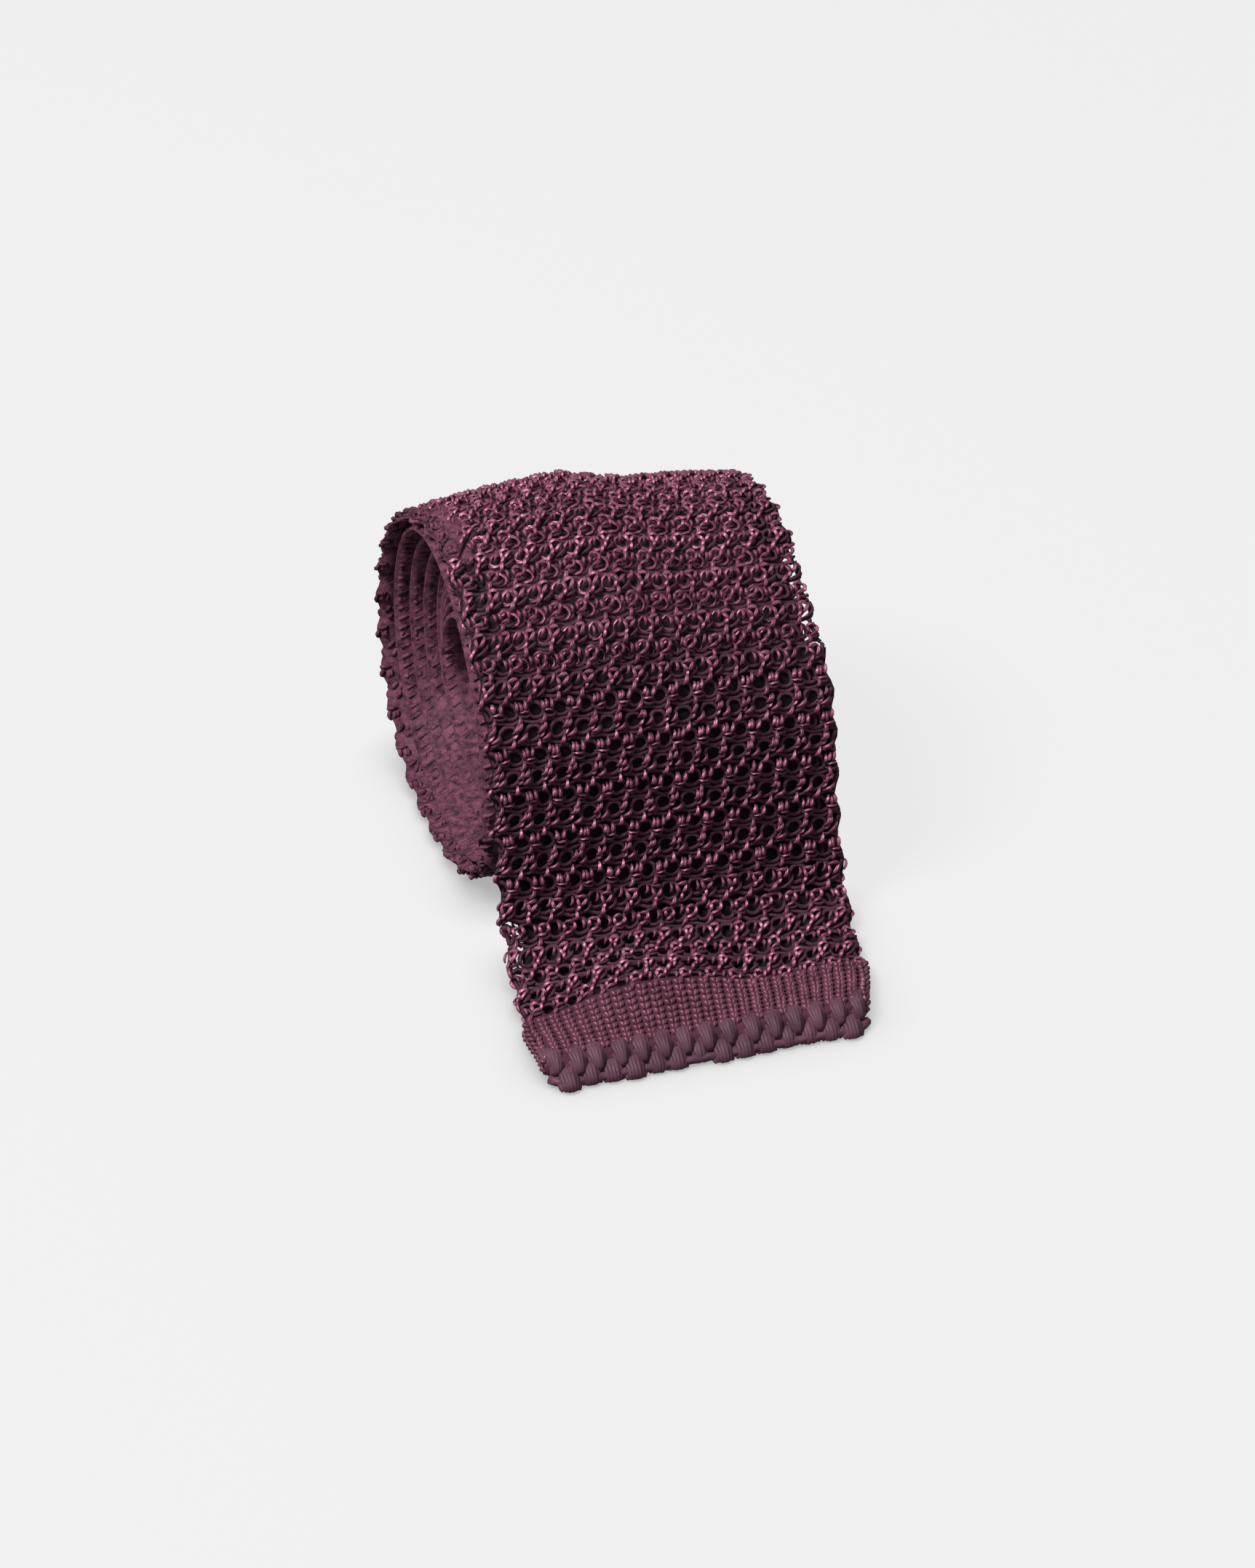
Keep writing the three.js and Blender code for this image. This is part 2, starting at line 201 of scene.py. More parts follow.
# The knit is a tube pressed flat: KNOT_COLUMNS columns of knots round it, half of them on top
KNOT_COLUMNS = 28
LAYER_HALF = 0.62
# How far the slack edges stand out behind the roll and before it, and the stretches where they do
LEFT_FLARE, RIGHT_FLARE = 1.3, 0.8
LEFT_FLARE_AT, RIGHT_FLARE_AT = (110, 135, 200, 225), (20, 32, 64, 84)
LEAST_FOLD = 0.14


def on_tube(s, around, rise, columns=KNOT_COLUMNS):
    """Points and normals of the knit tube, in millimetres in the row frame. around counts columns
    from the left edge over the top, and rise is the height over the middle of the knit."""
    s, around, rise = np.broadcast_arrays(s, around, rise)
    front, height, normal_f, normal_h, cloth, half, aside, wave = (
        np.interp(s, lengths, column) for column in strip[:8])
    bumpy = smoothstep(s, hem_start, hem_start + 3) * (1 - smoothstep(s, outer_end, outer_end + 9))
    half = half + bumpy * EDGE_BUMP_DEPTH / 2 * np.cos(s / EDGE_BUMP_PITCH * 2 * np.pi)
    fold = np.maximum(cloth / 2 - LAYER_HALF, LEAST_FOLD)
    flat = half - LAYER_HALF - fold
    quarter = np.pi / 2 * fold
    length = np.mod(around, columns) / (columns / 2) * (2 * flat + 2 * quarter)
    under = length > 2 * flat + 2 * quarter
    length = np.where(under, 2 * (2 * flat + 2 * quarter) - length, length)
    left = np.minimum(length, quarter) / fold
    right = np.maximum(length - quarter - 2 * flat, 0) / fold
    side = -np.cos(left) + np.sin(right)
    up = np.sin(left) - (1 - np.cos(right))
    across = (-flat - fold * np.cos(left) + np.clip(length - quarter, 0, 2 * flat)
              + fold * np.sin(right) + rise * side)
    across = (across - LEFT_FLARE * window(s, *LEFT_FLARE_AT) * np.clip(-across / half, 0, 1)
              + RIGHT_FLARE * window(s, *RIGHT_FLARE_AT) * np.clip(across / half, 0, 1))
    up = np.where(under, -up, up)
    out = (fold + rise) * up - cloth / 2
    out = out + wave * LOOSE_CLOTH * np.interp(across / half, WAVE[:, 0], WAVE[:, 1])
    along = window(s, BULGE_FROM, BULGE_PEAK, BULGE_PEAK, BULGE_TO)
    bulge = np.interp(np.mod(around, columns) / columns * KNOT_COLUMNS, BULGE[:, 0], BULGE[:, 1])
    out = out + BULGE_RISE * along * np.where(under, 0, bulge)
    points = np.stack([aside + across + SHIFT_RIGHT, SHIFT_BACK - front - normal_f * out,
                       np.maximum(height + normal_h * out, 0.03)], -1)
    normals = np.stack([side, -normal_f * up, normal_h * up], -1)
    return points, normals


class Faces:
    """Collects quads and end caps, with a UV in millimetres along the yarn and turns round it."""

    def __init__(self):
        self.points, self.quads, self.uvs, self.caps, self.count = [], [], [], [], 0

    def add(self, points, quads, uvs, caps=None):
        self.points.append(points.reshape(-1, 3))
        self.quads.append(quads.reshape(-1, 4) + self.count)
        self.uvs.append(uvs.reshape(-1, 4, 2))
        if caps is not None:
            self.caps.append(caps + self.count)
        self.count += points.size // 3

    def build(self, name, material):
        points = np.concatenate(self.points) * MM
        quads, uvs = np.concatenate(self.quads), np.concatenate(self.uvs)
        caps = np.concatenate([np.zeros(0, int), *(cap.ravel() for cap in self.caps)])
        cap_sizes = [np.full(len(cap), cap.shape[1]) for cap in self.caps]
        mesh = bpy.data.meshes.new(name)
        mesh.vertices.add(len(points))
        mesh.vertices.foreach_set("co", points.astype(np.float32).ravel())
        corners = np.concatenate([quads.ravel(), caps])
        mesh.loops.add(len(corners))
        mesh.loops.foreach_set("vertex_index", corners.astype(np.int32))
        sizes = np.concatenate([np.full(len(quads), 4), *cap_sizes])
        mesh.polygons.add(len(sizes))
        mesh.polygons.foreach_set("loop_start", np.concatenate([[0], np.cumsum(sizes)[:-1]]).astype(np.int32))
        mesh.polygons.foreach_set("use_smooth", np.ones(len(sizes), bool))
        layer = mesh.uv_layers.new(name="yarn")
        flat_uvs = np.concatenate([uvs.ravel(), np.zeros(caps.size * 2)])
        layer.data.foreach_set("uv", flat_uvs.astype(np.float32))
        mesh.update(calc_edges=True)
        mesh.validate()
        mesh.materials.append(material)
        obj = bpy.data.objects.new(name, mesh)
        bpy.context.scene.collection.objects.link(obj)
        return obj


def unit(v):
    return v / np.maximum(np.linalg.norm(v, axis=-1, keepdims=True), 1e-9)


def yarns(faces, paths, radius, sides, normals, closed=False, start=0.0):
    """Round yarns along paths (yarns, points, 3), with the normals of the cloth there."""
    paths = np.asarray(paths, float)
    count, steps, _ = paths.shape
    radius = np.broadcast_to(radius, (count, steps))
    if closed:
        tangents = unit(np.roll(paths, -1, 1) - np.roll(paths, 1, 1))
    else:
        tangents = unit(np.gradient(paths, axis=1))
    first = unit(normals - (normals * tangents).sum(-1, keepdims=True) * tangents)
    second = np.cross(tangents, first)
    angles = np.arange(sides) / sides * 2 * np.pi
    ring = (np.cos(angles)[:, None] * first[:, :, None] + np.sin(angles)[:, None] * second[:, :, None])
    points = paths[:, :, None] + radius[:, :, None, None] * ring
    step_lengths = np.linalg.norm(np.diff(paths, axis=1, append=paths[:, :1]), axis=-1)
    along = np.concatenate([np.zeros((count, 1)), np.cumsum(step_lengths, 1)], 1) + start
    spans = steps if closed else steps - 1
    yarn = np.arange(count)[:, None, None] * steps * sides
    a = np.arange(spans)[None, :, None]
    j = np.arange(sides)[None, None, :]
    b, l = (a + 1) % steps, (j + 1) % sides
    quads = np.stack(np.broadcast_arrays(yarn + a * sides + j, yarn + a * sides + l,
                                         yarn + b * sides + l, yarn + b * sides + j), -1)
    u0 = along[:, :spans, None]
    u1 = along[:, 1 : spans + 1, None]
    v0, v1 = j / sides, (j + 1) / sides
    uvs = np.stack([np.stack(np.broadcast_arrays(u0, v0), -1), np.stack(np.broadcast_arrays(u0, v1), -1),
                    np.stack(np.broadcast_arrays(u1, v1), -1), np.stack(np.broadcast_arrays(u1, v0), -1)], -2)
    caps = None
    if not closed:
        ends = np.arange(count)[:, None] * steps * sides
        caps = np.concatenate([ends + np.arange(sides)[::-1], ends + (steps - 1) * sides + np.arange(sides)])
    faces.add(points, quads, uvs, caps)


# Openwork stitches
COLUMN = 4.05  # from knot to knot, for the sizes of the strands below
ROW_PAIR = 7.45
UPPER_TO_LOWER = 3.65  # from a row of bar knots to the row of slanted knots under it
ROW_SHIFT = 0.145  # columns that the rows lie to the right and to the left
ROW_START = 25.55
ROW_TILT = 0.2  # how much lower a row lies at each column to the right
FIRST_COLUMN = 0.525
HOLE_ACROSS, HOLE_ALONG = 1.34, 1.32
HOLE_RIGHT = {True: 0.44, False: 0.57}  # columns from a knot to the hole on its right
HOLE_DROP = 0.35

# Strands of the two kinds of knot, as (right, up, rise) from the middle of the knot: two on its left,
# one on its right, a thin one under them, a dim one lower down (dim because it lies deeper and because
# its yarn is painted darker as painted shade), and the one that runs down to the next row
KNOT_LEFT = {
    True: [(-0.95, -0.25, -0.1), (-0.84, 0.08, 0.5), (-0.72, 0.4, 0.66), (-0.6, 0.72, 0.48),
           (-0.5, 1.02, -0.2)],
    False: [(-0.82, -0.2, -0.1), (-0.66, 0.12, 0.46), (-0.52, 0.46, 0.62), (-0.4, 0.78, 0.46),
            (-0.3, 1.1, -0.2)],
}
KNOT_MIDDLE = {
    True: [(-0.52, -0.3, -0.1), (-0.4, 0.05, 0.55), (-0.28, 0.4, 0.72), (-0.17, 0.74, 0.5),
           (-0.08, 1.05, -0.2)],
    False: [(-0.25, -0.02, -0.1), (-0.08, 0.3, 0.46), (0.06, 0.62, 0.62), (0.18, 0.95, 0.46),
            (0.28, 1.25, -0.2)],
}
KNOT_RIGHT = {
    True: [(0.28, -0.3, -0.1), (0.42, 0.06, 0.5), (0.56, 0.42, 0.68), (0.68, 0.78, 0.48),
           (0.8, 1.12, -0.2)],
    False: [(0.02, -1.4, -0.1), (0.3, -1.16, 0.42), (0.62, -0.92, 0.56), (0.92, -0.66, 0.42),
            (1.15, -0.36, -0.1)],
}
KNOT_FOOT = {
    True: [(-0.92, -0.62, 0.0), (-0.5, -0.66, 0.42), (-0.08, -0.6, 0.5), (0.32, -0.7, 0.42),
           (0.72, -0.56, 0.0)],
    False: [(-0.75, -1.0, -0.1), (-0.5, -0.86, 0.1), (-0.28, -0.64, 0.2), (-0.12, -0.36, 0.1),
            (-0.05, -0.05, -0.2)],
}
KNOT_TAIL = {
    True: [(-1.5, -2.5, -0.2), (-1.32, -2.12, 0.36), (-1.15, -1.78, 0.54), (-1.0, -1.45, 0.36),
           (-0.85, -1.1, -0.2)],
    False: [(-1.45, -2.85, -0.2), (-1.22, -2.5, 0.36), (-1.05, -2.2, 0.54), (-0.9, -1.85, 0.36),
            (-0.72, -1.45, -0.2)],
}
KNOT_BAR = {
    True: [(-1.3, -0.85, -0.4), (-0.75, -1.3, 0.0), (-0.15, -1.48, 0.1), (0.45, -1.36, 0.02),
           (0.95, -0.95, -0.4)],
    False: [(-0.3, -1.85, -0.4), (0.2, -1.8, 0.0), (0.7, -1.55, 0.1), (1.15, -1.15, 0.02),
            (1.4, -0.65, -0.4)],
}
RING_LEFT = {
    True: [(-0.72, -0.62, -0.1), (-0.8, -0.3, 0.45), (-0.8, 0.0, 0.6), (-0.74, 0.3, 0.45),
           (-0.58, 0.62, -0.1)],
    False: [(-0.7, 0.55, -0.1), (-0.68, 0.15, 0.45), (-0.56, -0.2, 0.56), (-0.44, -0.55, 0.45),
            (-0.32, -0.95, -0.1)],
}
RING_TOP = {
    True: [(-0.66, 0.45, -0.1), (-0.34, 0.7, 0.45), (0.0, 0.78, 0.6), (0.34, 0.7, 0.45),
           (0.66, 0.42, -0.1)],
    False: [(-0.8, 0.48, -0.1), (-0.42, 0.7, 0.45), (0.05, 0.78, 0.6), (0.48, 0.72, 0.45),
            (0.82, 0.48, -0.1)],
}
RING_RIGHT = {
    True: [(0.7, 0.6, -0.1), (0.8, 0.25, 0.45), (0.76, -0.08, 0.6), (0.6, -0.4, 0.45),
           (0.34, -0.68, -0.1)],
    False: [(0.78, 0.58, -0.1), (0.66, 0.15, 0.45), (0.42, -0.2, 0.6), (0.15, -0.55, 0.45),
            (-0.15, -0.85, -0.1)],
}
RING_FOOT = {
    True: [(0.5, -0.5, -0.1), (0.16, -0.76, 0.45), (-0.2, -0.9, 0.6), (-0.56, -1.0, 0.45),
           (-0.9, -1.08, -0.1)],
    False: [(-0.18, -0.7, -0.1), (-0.3, -0.95, 0.36), (-0.42, -1.2, 0.46), (-0.55, -1.45, 0.3),
            (-0.7, -1.7, -0.1)],
}
KNOT_SIDE = {
    True: [(-1.72, -0.6, -0.2), (-1.66, -0.25, 0.3), (-1.6, 0.1, 0.48), (-1.54, 0.45, 0.3),
           (-1.5, 0.8, -0.2)],
    False: [(-1.7, -0.5, -0.2), (-1.6, -0.15, 0.3), (-1.52, 0.2, 0.48), (-1.46, 0.55, 0.3),
            (-1.4, 0.9, -0.2)],
}
# Where the strands of a knot lie spread, on the steep front; elsewhere they are drawn into a ring
SPREAD_ROWS = (37.0, 73.0)
KNOT = ((KNOT_LEFT, 0.31), (KNOT_MIDDLE, 0.33), (KNOT_RIGHT, 0.34), (KNOT_FOOT, 0.24))
RING = ((RING_LEFT, 0.33), (RING_TOP, 0.34), (RING_RIGHT, 0.33), (RING_FOOT, 0.31), (KNOT_SIDE, 0.27))
TAIL_RADIUS = 0.36
BAR_RADIUS = 0.3
KNOT_SIZE = 1.02
STRAND_TAPER = 0.4
TOP_FROM, TOP_TO = 68.0, 86.0  # the bend from the front of the roll to its top
TOP_KNOTS, TOP_HOLES, TOP_LOOP_SINK, TOP_COURSE_SINK = 1.06, 0.95, 0.5, 0.45
BRUSHED_FROM = 97.0  # from here on the roll's left edge is brushed
EDGE_RELIEF = 0.35  # how much of their height the knots keep on the folded edges
# How unevenly the stitches are made: turn in radians, size as a share, place, rise and thickness
TURN_SPREAD, SIZE_SPREAD, PLACE_SPREAD, RISE_SPREAD, THICKNESS_SPREAD = 0.12, 0.06, 0.10, 0.05, 0.08


def tilt(around):
    """How far along the strip a row moves at a column, down to the right edge and up again."""
    return ROW_TILT * (np.abs(np.mod(around, KNOT_COLUMNS) - KNOT_COLUMNS / 2) - KNOT_COLUMNS / 4)


def on_top(s):
    """0 on the front of the roll and 1 over its top, where the knots lie closer and hide the loops."""
    return smoothstep(s, TOP_FROM, TOP_TO)


def rows_between(start, end):
    """(length along, whether it is a row of bar knots) for each row of knots."""
    found, k = [], -3
    while ROW_START + k * ROW_PAIR - UPPER_TO_LOWER < end:
        upper = ROW_START + k * ROW_PAIR
        for s, bars in ((upper - UPPER_TO_LOWER, False), (upper, True)):
            if start <= s < end:
                found.append((s, bars))
        k += 1
    return found


def strands(faces, rows, columns, sides, shapes, radius, sink=0.0, points=None):
    """A strand of its row's shape at each crossing of rows and columns."""
    for bars, shape in shapes.items():
        at = [s for s, kind in rows if kind == bars]
        if not at:
            continue
        s, q = (v.ravel() for v in np.meshgrid(at, columns, indexing="ij"))
        q = q + FIRST_COLUMN + (ROW_SHIFT if bars else -ROW_SHIFT)
        s = s + tilt(q)
        shape = np.array(shape)
        if points:
            steps = np.linspace(0, len(shape) - 1, points)
            shape = np.stack([np.interp(steps, np.arange(len(shape)), c) for c in shape.T], -1)
        turned = random.normal(0, TURN_SPREAD, (len(s), 1))
        size = KNOT_SIZE * lerp(1, TOP_KNOTS, on_top(s[:, None]))
        size = size * random.normal(1, SIZE_SPREAD, (len(s), 1))
        wander = random.normal(0, PLACE_SPREAD, (2, len(s), 1))
        right, up = size * shape[None, :, 0], size * shape[None, :, 1]
        right, up = (right * np.cos(turned) - up * np.sin(turned) + wander[0],
                     right * np.sin(turned) + up * np.cos(turned) + wander[1])
        place = q[:, None] + right / COLUMN
        from_edge = np.abs(np.mod(place + KNOT_COLUMNS / 4, KNOT_COLUMNS / 2) - KNOT_COLUMNS / 4)
        calm = lerp(0.9, 3.2, smoothstep(s[:, None], BRUSHED_FROM, BRUSHED_FROM + 14))
        relief = lerp(EDGE_RELIEF, 1, smoothstep(from_edge, 0.1, calm))
        rise = (shape[None, :, 2] - sink + random.normal(0, RISE_SPREAD, (len(s), 1))) * relief
        paths, normals = on_tube(s[:, None] + up, place, rise)
        thickness = radius * (1 - STRAND_TAPER * np.linspace(-1, 1, len(shape))[None] ** 2)
        thickness = thickness * random.uniform(1 - THICKNESS_SPREAD, 1 + THICKNESS_SPREAD, (len(s), 1))
        yarns(faces, paths, thickness, sides, normals=normals, start=random.uniform(0, 3))


def hole_rings(faces, rows, columns, sides, steps, radius=0.37, sink=0.0):
    """The loops of yarn round each hole, to the right of its knot."""
    s = np.array([v for v, _ in rows])
    shift = np.array([HOLE_RIGHT[bars] + (ROW_SHIFT if bars else -ROW_SHIFT) for _, bars in rows])
    s, q = (v.ravel() for v in np.meshgrid(s, np.asarray(columns) + FIRST_COLUMN, indexing="ij"))
    q = q + np.repeat(shift, len(columns))
    s = s + tilt(q) - HOLE_DROP
    wander = random.normal(0, 0.07, (2, len(s), 1))
    size = random.normal(1, 0.05, (2, len(s), 1))
    angle = np.arange(steps) / steps * 2 * np.pi
    right = wander[0] + HOLE_ACROSS * size[0] * np.cos(angle)
    up = wander[1] + HOLE_ALONG * size[1] * np.sin(angle)
    top = on_top(s[:, None])
    right, up = right * lerp(1, TOP_HOLES, top), up * lerp(1, TOP_HOLES, top)
    rise = 0.12 * np.cos(2 * angle)[None] - sink - TOP_LOOP_SINK * top
    paths, normals = on_tube(s[:, None] + up, q[:, None] + right / COLUMN, rise)
    yarns(faces, paths, radius, sides, closed=True, normals=normals)


def courses(faces, rows, columns, sides, radius=0.36, sink=0.45):
    """Yarns that run across between the rows, waving a little at each column."""
    s = np.array([v for v, _ in rows])[:, None]
    q = np.arange(columns[0], columns[1], 0.2)[None]
    wave = 0.28 * np.cos(2 * np.pi * (q - FIRST_COLUMN)) + random.normal(0, 0.05, (len(s), q.shape[1]))
    place = s - ROW_PAIR / 4 - HOLE_DROP + tilt(q) + wave
    paths, normals = on_tube(place, q + 0 * s, -sink - TOP_COURSE_SINK * on_top(s))
    yarns(faces, paths, radius, sides, normals=normals)


def hex_colour(code):
    """sRGB hex to linear RGBA."""
    parts = [int(code[k : k + 2], 16) / 255 for k in (1, 3, 5)]
    return tuple(c / 12.92 if c <= 0.04045 else ((c + 0.055) / 1.055) ** 2.4 for c in parts) + (1.0,)


def node(tree, kind, settings=None, **inputs):
    """A node with its settings, and its inputs as values or as sockets to link."""
    made = tree.nodes.new(kind)
    for key, value in (settings or {}).items():
        setattr(made, key, value)
    for key, value in inputs.items():
        numbered = key[0] == "_"
        socket = made.inputs[int(key[1:]) if numbered else key.replace("_", " ")]
        if isinstance(value, bpy.types.NodeSocket):
            tree.links.new(value, socket)
        else:
            socket.default_value = value
    return made


PLIES = 3
PLY_LAY = 2.6


def silk(name, dark, light, roughness, sheen=0.12, ply=0.5, metallic=0.3, specular=0.55, uneven=0.2,
         grain=0.5, patches=260.0):
    """Twisted silk yarn: fine diagonal plies, a soft gloss and slightly uneven dye."""
    material = bpy.data.materials.new(name)
    material.use_nodes = True
    tree = material.node_tree
    shader = tree.nodes["Principled BSDF"]
    uv = node(tree, "ShaderNodeUVMap", {"uv_map": "yarn"})
    parts = node(tree, "ShaderNodeSeparateXYZ", Vector=uv.outputs[0])
    lay = node(tree, "ShaderNodeMath", {"operation": "DIVIDE"}, _0=parts.outputs[0], _1=PLY_LAY)
    turns = node(tree, "ShaderNodeMath", {"operation": "MULTIPLY_ADD"}, _0=parts.outputs[1],
                 _1=float(PLIES), _2=lay.outputs[0])
    phase = node(tree, "ShaderNodeMath", {"operation": "MULTIPLY"}, _0=turns.outputs[0], _1=2 * math.pi)
    wave = node(tree, "ShaderNodeMath", {"operation": "SINE"}, _0=phase.outputs[0])
    place = node(tree, "ShaderNodeTexCoord")
    dye = node(tree, "ShaderNodeTexNoise", Vector=place.outputs["Object"], Scale=patches, Detail=4.0,
               Roughness=grain)
    shade = node(tree, "ShaderNodeMapRange", Value=dye.outputs[0], _1=0.5 - uneven, _2=0.5 + uneven)
    colour = node(tree, "ShaderNodeMix", {"data_type": "RGBA"}, Factor=shade.outputs[0])
    colour.inputs[6].default_value = hex_colour(dark)
    colour.inputs[7].default_value = hex_colour(light)
    bump = node(tree, "ShaderNodeBump", Strength=ply, Distance=0.00012, Height=wave.outputs[0])
    tree.links.new(colour.outputs[2], shader.inputs["Base Color"])
    tree.links.new(bump.outputs[0], shader.inputs["Normal"])
    shader.inputs["Roughness"].default_value = roughness
    shader.inputs["Metallic"].default_value = metallic
    shader.inputs["Sheen Weight"].default_value = sheen
    shader.inputs["Sheen Roughness"].default_value = 0.4
    shader.inputs["Sheen Tint"].default_value = hex_colour("#d98aa6")
    shader.inputs["Specular IOR Level"].default_value = specular
    return material


# Small pink glints along the top of each strand, and almost black where it turns away
openwork_silk = silk("openwork silk yarn", "#763f55", "#9a6278", roughness=0.52, sheen=0.05, ply=0.5,
                     metallic=0.7, specular=0.25)
# The same yarn lying deeper, its colour painted darker as painted shade: dull wine red without glints, so the
# knots stand out from it
painted_shade_silk = silk("silk loops behind the knots in painted shade", "#331a28", "#432635", roughness=0.7, sheen=0.0, ply=0.2,
                   metallic=0.0, specular=0.15)
# Even and slightly paler with a soft gloss, so the hem reads as fine ribs
plain_silk = silk("plain knit silk yarn", "#552a3b", "#6f4052", roughness=0.45)
# Dark gaps between the hem's stitches, painted darker than the hem's yarn as painted shade
painted_shade_hem_ground = silk("silk ground between the hem's stitches in painted shade", "#3c1f2c", "#482636", roughness=0.7, sheen=0.0,
                   metallic=0.0, specular=0.1)
# Matte and greyer, in thick bundles, so the knobs look soft and heavy
edge_silk = silk("scalloped edge silk yarn", "#3e2230", "#50303f", roughness=0.6, ply=0.2, metallic=0.0,
                 specular=0.3)
# Fine dark and light mottling, like the fuzz of the roll's ends, in place of single strands
brushed_silk = silk("brushed silk on the roll's ends", "#26131d", "#65394c", roughness=0.7, sheen=0.12, ply=0.2,
                    metallic=0.0, specular=0.15, uneven=0.13, grain=0.75, patches=620.0)
# Nearly black: painted shade for the depth that the eye sees through the holes
painted_shade_cloth = silk("silk cloth behind the holes in painted shade", "#17111a", "#1f161e", roughness=0.8, sheen=0.0, metallic=0.0,
                  specular=0.05)

SEEN_THROUGH = (72.0, 94.0)  # the rows whose last hole on the right shows the floor
ROLL_FROM = 118.0  # where the blade's piece ends and the roll's begins
TOP_COLUMNS, OPEN_COLUMNS = np.arange(-1, 15), np.arange(-1, 14)
BRUSHED_COLUMNS, WRAPPED_COLUMNS = np.arange(1, 15), np.arange(-1, 1)
UNDER_COLUMNS, UNDER_HOLES = np.arange(15, 27), np.arange(15, 26)
INNER_COLUMNS = [0, 13, 14, 27]  # only those beside the edges show
CORE_LENGTH = 88.0  # the last stretch of the strip, which is the wall of the core
DEEP_LOOPS = {"radius": 0.38, "sink": 0.4}
UNDER_STRAND, WRAPPED_STRAND = 0.37, 0.4
outer_rows = rows_between(hem_start + 0.6, outer_end)

pieces = []


def keep(piece, cad_node, slot):
    """Lists a piece with the CAD node that it stands for."""
    pieces.append((piece, cad_node, slot))


def openwork(knots, loops, rows, columns):
    """The openwork of the top layer: knots that catch the light, and the loops round its holes."""
    spread = [r for r in rows if SPREAD_ROWS[0] < r[0] < SPREAD_ROWS[1]]
    drawn_in = [r for r in rows if r not in spread]
    for shapes, radius in KNOT:
        strands(knots, spread, columns, 5, shapes, radius)
    for shapes, radius in RING:
        strands(knots, drawn_in, columns, 5, shapes, radius)
    strands(knots, rows, columns, 5, KNOT_TAIL, TAIL_RADIUS)
    strands(loops, rows, columns, 5, KNOT_BAR, BAR_RADIUS)
    hole_rings(loops, rows, columns, 5, 12, **DEEP_LOOPS)


def make_top_layer(name, rows):
    """One stretch of the top layer. The last column is left out where the floor shows through, and
    the first two where the roll's brushed left edge takes their place."""
    knots, loops = Faces(), Faces()
    lower = [r for r in rows if r[0] < BRUSHED_FROM]
    open_rows = [r for r in lower if SEEN_THROUGH[0] < r[0] < SEEN_THROUGH[1]]
    openwork(knots, loops, [r for r in lower if r not in open_rows], TOP_COLUMNS)
    openwork(knots, loops, open_rows, OPEN_COLUMNS)
    hole_rings(loops, open_rows, TOP_COLUMNS[-1:], 5, 12, **DEEP_LOOPS)
    openwork(knots, loops, [r for r in rows if r[0] >= BRUSHED_FROM], BRUSHED_COLUMNS)
    courses(loops, rows, (-0.5, 14.5), 5)
    keep(knots.build(name + "_knots", openwork_silk), "knit_body", "openwork_knit")
    # The loops take the darker yarn, whose colour is painted shade
    keep(loops.build(name + "_loops", painted_shade_silk), "knit_body", "openwork_knit")


def make_roll_edge():
    """Knots that wrap the roll's left edge, half sunk in the brushed cloth."""
    faces = Faces()
    brushed_rows = [r for r in outer_rows if r[0] >= BRUSHED_FROM]
    for shapes, _ in KNOT:
        strands(faces, brushed_rows, WRAPPED_COLUMNS, 5, shapes, WRAPPED_STRAND, sink=0.5)
    keep(faces.build("roll_edge_knit", brushed_silk), "knit_body", "openwork_knit")


def make_under_layer():
    """The lower layer of the outer turn, seen through the holes, in fewer strands."""
    faces = Faces()
    for shapes in (KNOT_LEFT, KNOT_RIGHT, KNOT_FOOT):
        strands(faces, outer_rows, UNDER_COLUMNS, 4, shapes, UNDER_STRAND, points=4)
    hole_rings(faces, outer_rows, UNDER_HOLES, 4, 10)
    keep(faces.build("under_knit", openwork_silk), "knit_body", "openwork_knit")


def make_inner_turns():
    """Knots near both edges of the inner turns and on the wall of the core."""
    inner_rows = rows_between(outer_end, strip_end - 2)
    core_rows = rows_between(strip_end - CORE_LENGTH, strip_end - 2)
    faces = Faces()
    for shapes in (KNOT_LEFT, KNOT_RIGHT, KNOT_FOOT):
        strands(faces, inner_rows, INNER_COLUMNS, 4, shapes, UNDER_STRAND, points=4, sink=0.3)
        strands(faces, core_rows, UNDER_COLUMNS, 4, shapes, UNDER_STRAND, points=4, sink=0.3)
    keep(faces.build("inner_knit", brushed_silk), "knit_body", "openwork_knit")


EDGE_LOOP_PITCH, EDGE_LOOP_RADIUS = 1.83, 0.36


def make_edge_loops():
    """Short loops of yarn that bend round both edges of the wound strip."""
    faces = Faces()
    at = np.arange(outer_end - 6, strip_end - 1, EDGE_LOOP_PITCH)
    bend = np.linspace(-1, 1, 6)
    for edge in (0, KNOT_COLUMNS / 2):
        wander = random.normal(0, 0.12, (2, len(at), 1))
        paths, normals = on_tube(at[:, None] + 0.45 * bend + wander[0], edge + 0.5 * bend[None],
                                 0.08 + 0.08 * (1 - np.abs(bend))[None] + 0.4 * wander[1])
        yarns(faces, paths, EDGE_LOOP_RADIUS, 5, normals)
    keep(faces.build("edge_loops", brushed_silk), "knit_body", "openwork_knit")


# Plain knit of the hem: twice as many columns, in rows of V-shaped stitches
HEM_ROWS = 9
HEM_COLUMNS = 2 * KNOT_COLUMNS
HEM_RISE = 0.25
HEM_LEG = np.array([(0.14, -0.56, -0.5), (0.25, -0.34, 0.0), (0.42, 0.0, 0.26), (0.58, 0.34, 0.0),
                    (0.68, 0.54, -0.5)])
HEM_THICKNESS = np.array([0.08, 0.36, 0.48, 0.36, 0.08])


